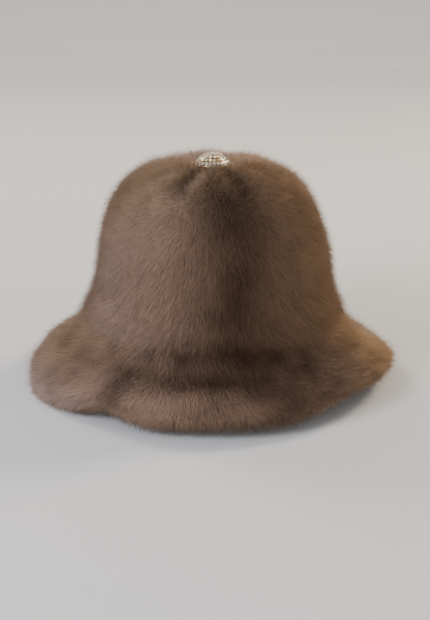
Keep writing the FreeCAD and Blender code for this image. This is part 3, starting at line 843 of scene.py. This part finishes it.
class HAT_OT_crown_fur(bpy.types.Operator):
    """Makes the pelts of the crown, drawn together under the ornament"""
    bl_idname = "hat.crown_fur"
    bl_label = "Crown fur"

    def execute(self, context):
        fur = context.scene.hat_fur
        turn = 360 / len(crown_nodes)
        first = STRIPES[0][0] - turn / 2

        def swirl(azimuth, station):
            off_stripe = (azimuth - first) % turn - turn / 2
            return np.radians(16) * off_stripe / (turn / 2) * np.clip((station - 1.5) / 3, 0, 1)

        groom = grooming(
            fur, swirl=swirl,
            lean=lambda azimuth, station: fur.lean + np.radians(40) * bell(station, 1.1, 0.8),
            long=lambda azimuth, station: 1 - 0.30 * bell(station, 0.0, 0.8) + 0.25 * bell(station, 10, 0.8))
        for index, node in enumerate(crown_nodes):
            rng = np.random.default_rng(fur.seed + index)
            edges = (first + turn * index, first + turn * (index + 1))
            pelt("crown_pelt_%d" % (index + 1), node, crown_surface, crown_shade, edges, (0.0, 10.0),
                 fur.crown_hairs, groom, rng)
        return {"FINISHED"}


class HAT_OT_brim_fur(bpy.types.Operator):
    """Makes the two pelts on the upper side of the brim"""
    bl_idname = "hat.brim_fur"
    bl_label = "Brim fur"

    def execute(self, context):
        fur = context.scene.hat_fur
        groom = grooming(
            fur, swirl=lambda azimuth, station: np.radians(10) * np.sin(np.radians(azimuth * 3)),
            long=lambda azimuth, station: 1.0 - 0.18 * bell(station, 5.0, 0.6))
        for index, node in enumerate(brim_nodes):
            rng = np.random.default_rng(fur.seed + 20 + index)
            edges = (BRIM_SEAM + 180 * index, BRIM_SEAM + 180 * (index + 1))
            pelt("brim_pelt_%s" % node.split("_")[-1], node, brim_surface, brim_shade, edges, (0.0, 5.0),
                 fur.brim_hairs, groom, rng, 2.5 * MM)
        return {"FINISHED"}


class HAT_OT_facing_fur(bpy.types.Operator):
    """Makes the short dark fur on the underside of the brim"""
    bl_idname = "hat.facing_fur"
    bl_label = "Under-brim fur"

    def execute(self, context):
        fur = context.scene.hat_fur
        pelt("brim_facing_pelt", "fur_brim_facing",
             lambda azimuth, station: facing_surface(-azimuth, station),
             lambda azimuth, station: facing_shade(-azimuth, station), (0.0, 360.0), (0.0, 4.0),
             fur.facing_hairs, grooming(fur, length=fur.facing_length),
             np.random.default_rng(fur.seed + 40), 2.0 * MM)
        return {"FINISHED"}


class HAT_OT_lining(bpy.types.Operator):
    """Makes the satin lining: a top and a side, with small puckers at the seam between them"""
    bl_idname = "hat.lining"
    bl_label = "Lining"

    def execute(self, context):
        satin = woven("satin", (0.035, 0.020, 0.014), (0.085, 0.050, 0.034), 0.5 * MM, (1.0, 0.0),
                      depth=0.25, rough=0.34, Sheen_Weight=0.15, Coat_Weight=0.15)
        top = cloth_layer("lining_top", "lining_tip", lining_top, (360.0, 0.0), (0.0, 5.0), 0.35 * MM,
                          288, 30, satin)
        side = cloth_layer("lining_side", "lining_side_band", lining_side, (0.0, 360.0), (0.0, 6.0),
                           0.35 * MM, 288, 36, satin)
        thread = woven("lining_thread", (0.05, 0.03, 0.02), (0.10, 0.06, 0.04), 0.3 * MM, mapped=False)
        azimuth = np.arange(0, 360, 2.0)
        seam = tip_half_width - 0.9 * MM + 0 * azimuth
        starts, ends = (placed(seam, tip_low[2] - 0.2 * MM, azimuth + on) for on in (0.0, 1.3))
        stitches("lining_seam_stitches", starts, ends, 0.16 * MM, 0.2 * MM, thread)
        return {"FINISHED"}


class HAT_OT_sweatband(bpy.types.Operator):
    """Makes the ribbed sweatband with its hand stitches, and the two blank woven labels"""
    bl_idname = "hat.sweatband"
    bl_label = "Sweatband and labels"

    def execute(self, context):
        ribbed = woven("grosgrain", (0.022, 0.014, 0.010), (0.075, 0.048, 0.034), 1.1 * MM, (1.0, 0.0),
                       depth=0.9, rough=0.6, Sheen_Weight=0.2)
        band = cloth_layer("sweatband_ribbon", "sweatband", band_face, (0.0, 360.0), (0.0, 4.0), 0.9 * MM,
                           360, 16, ribbed)
        thread = woven("band_thread", (0.07, 0.045, 0.03), (0.16, 0.10, 0.07), 0.3 * MM, mapped=False)
        azimuth = np.arange(0, 360, 2.4)
        starts = band_face(azimuth, 3.55 + 0 * azimuth)
        ends = band_face(azimuth + 1.5, 3.75 + 0 * azimuth)
        stitches("sweatband_stitches", starts, ends, 0.2 * MM, 1.25 * MM, thread)
        tape = woven("label_cloth", (0.30, 0.26, 0.20), (0.52, 0.47, 0.38), 0.45 * MM, rough=0.7)
        for node, half_length in label_half.items():
            low, high = span(node)
            middle = (low + high) / 2
            half = math.degrees(math.asin(min(1.0, half_length / math.hypot(*middle[:2]))))
            centre = math.degrees(math.atan2(middle[1], middle[0])) % 360

            def label_face(azimuth, station):
                height = high[2] + (low[2] - high[2]) * station / 4
                curl = 0.5 * MM * bell(station, 4, 0.9)
                return placed(wall_half_width(height) - 0.9 * MM - curl, height, azimuth)

            label = cloth_layer(node + "_tape", node, label_face, (centre - half, centre + half),
                                (0.0, 4.0), 0.4 * MM, 22, 14, tape)
        return {"FINISHED"}


class HAT_OT_ornament(bpy.types.Operator):
    """Gives the ornament its gilt metal and coated stones"""
    bl_idname = "hat.ornament"
    bl_label = "Ornament"

    def execute(self, context):
        dress(metal("gilt_metal", (0.70, 0.50, 0.26), (0.95, 0.82, 0.58), 0.24),
              "ornament_plate", "ornament_settings")
        dress(metal("plain_brass", (0.52, 0.36, 0.16), (0.78, 0.60, 0.32), 0.38),
              "ornament_back_disc", "ornament_shank")
        dress(crystal("coated_stone"), "ornament_stone_centre", "ornament_stones_arms",
              "ornament_stones_middle", "ornament_stones_outer")
        return {"FINISHED"}


class HAT_OT_hidden_layers(bpy.types.Operator):
    """Makes the brim's canvas and wire, and gives the other hidden layers their materials"""
    bl_idname = "hat.hidden_layers"
    bl_label = "Hidden layers"

    def execute(self, context):
        dress(fibrous("foundation_felt", (0.03, 0.022, 0.018), (0.07, 0.05, 0.04), 900, Roughness=0.9),
              "crown_foundation")
        dress(fibrous("wadding", (0.45, 0.42, 0.38), (0.70, 0.67, 0.62), 500, 0.9, Roughness=1.0),
              "crown_wadding")
        canvas = woven("canvas", (0.20, 0.17, 0.13), (0.38, 0.33, 0.26), 0.8 * MM, rough=0.85)
        layer = cloth_layer("brim_canvas", "brim_interlining", canvas_surface, (0.0, 360.0), (0.1, 3.7),
                            0.5 * MM, 240, 20, canvas)
        steel = metal("steel_wire", (0.40, 0.40, 0.41), (0.60, 0.60, 0.62), 0.4)
        ring_tube("brim_wire", "brim_edge_wire", canvas_surface, 3.8, 0.6 * MM, steel)
        dress(woven("cotton_tape", (0.05, 0.035, 0.03), (0.12, 0.09, 0.07), 0.5 * MM, mapped=False,
                    rough=0.8), "hem_stay_tape")
        dress(woven("sewing_thread", (0.04, 0.025, 0.02), (0.10, 0.07, 0.05), 0.25 * MM, mapped=False,
                    rough=0.7), "ornament_thread")
        dress(moulded("button_plastic", (0.03, 0.02, 0.015), (0.07, 0.05, 0.04)), "inner_button")
        return {"FINISHED"}


# Soft square lamps: name, place, size, power in watts, colour.
LAMPS = [
    ("window", (-1.4, -1.3, 1.1), 0.9, 40, (0.84, 0.90, 1.0)),
    ("shop_lamp", (1.2, 0.9, 1.2), 0.5, 26, (1.0, 0.86, 0.66)),
    ("back_lamp", (-0.9, 1.2, 1.3), 0.5, 16, (1.0, 0.9, 0.78)),
    ("fill", (1.4, -1.4, 0.6), 1.0, 8, (1.0, 0.95, 0.9)),
    ("low_fill", (-0.8, -1.7, 0.15), 0.8, 14, (0.84, 0.89, 1.0)),
]
VIEW_ELEVATION = math.radians(16)
VIEW_DISTANCE = 1.30
VIEW_HEIGHT = 0.095    # height that the camera looks at before its shift


class HAT_OT_studio(bpy.types.Operator):
    """Makes the pale floor, the soft lights and the camera"""
    bl_idname = "hat.studio"
    bl_label = "Studio"

    def execute(self, context):
        scene = context.scene
        board = Board("studio_floor", Roughness=0.9, Base_Color=(0.72, 0.71, 0.70))
        bend = np.radians(np.linspace(0, 90, 13))
        back = np.concatenate([[-4.0], 1.6 + 0.8 * np.sin(bend), [2.4]])
        rise = np.concatenate([[0.0], 0.8 - 0.8 * np.cos(bend), [4.0]]) + floor_height
        verts = [(x, y, z) for y, z in zip(back, rise) for x in (-5.0, 5.0)]
        floor = bpy.data.meshes.new("studio_floor")
        floor.from_pydata(verts, [], grid_faces(len(back), 2)[:, ::-1].tolist())
        floor.materials.append(board.material)
        put_object("studio_floor", floor)
        scene.world = bpy.data.worlds.new("studio_air")
        scene.world.use_nodes = True
        air = scene.world.node_tree.nodes["Background"].inputs
        air["Color"].default_value = (0.80, 0.80, 0.84, 1)
        air["Strength"].default_value = 0.45
        for name, place, size, power, colour in LAMPS:
            lamp = bpy.data.lights.new(name, "AREA")
            lamp.size, lamp.energy, lamp.color = size, power, colour
            aim = np.array([0.0, 0.0, 0.1]) - place
            thing = put_object(name, lamp)
            thing.location = place
            thing.rotation_euler = (math.atan2(math.hypot(*aim[:2]), -aim[2]), 0.0,
                                    math.atan2(aim[1], aim[0]) - math.pi / 2)
        camera = bpy.data.cameras.new("camera")
        camera.lens = 87.8
        camera.sensor_fit = "VERTICAL"
        camera.sensor_height = 36
        camera.shift_x, camera.shift_y = 0.004, -0.0726
        view = put_object("camera", camera)
        view.location = (0.0, -VIEW_DISTANCE * math.cos(VIEW_ELEVATION),
                         VIEW_HEIGHT + VIEW_DISTANCE * math.sin(VIEW_ELEVATION))
        view.rotation_euler = (math.radians(90) - VIEW_ELEVATION, 0.0, 0.0)
        scene.camera = view
        return {"FINISHED"}


class HAT_PT_panel(bpy.types.Panel):
    """Lists the makers of the hat's pieces"""
    bl_idname = "HAT_PT_panel"
    bl_label = "Cloche hat"
    bl_space_type = "VIEW_3D"
    bl_region_type = "UI"
    bl_category = "Hat"

    def draw(self, context):
        for maker in MAKERS:
            self.layout.operator(maker.bl_idname)
        for name in HatFurSettings.__annotations__:
            self.layout.prop(context.scene.hat_fur, name)


MAKERS = [HAT_OT_studio, HAT_OT_crown_fur, HAT_OT_brim_fur, HAT_OT_facing_fur, HAT_OT_lining,
          HAT_OT_sweatband, HAT_OT_ornament, HAT_OT_hidden_layers]


def register():
    for kind in [HatFurSettings, *MAKERS, HAT_PT_panel]:
        bpy.utils.register_class(kind)
    bpy.types.Scene.hat_fur = bpy.props.PointerProperty(type=HatFurSettings)


def unregister():
    del bpy.types.Scene.hat_fur
    for kind in reversed([HatFurSettings, *MAKERS, HAT_PT_panel]):
        bpy.utils.unregister_class(kind)


def main():
    register()
    bpy.ops.hat.studio()
    bpy.ops.hat.crown_fur()
    bpy.ops.hat.brim_fur()
    bpy.ops.hat.facing_fur()
    bpy.ops.hat.lining()
    bpy.ops.hat.sweatband()
    bpy.ops.hat.ornament()
    bpy.ops.hat.hidden_layers()


if __name__ == "__main__":
    main()
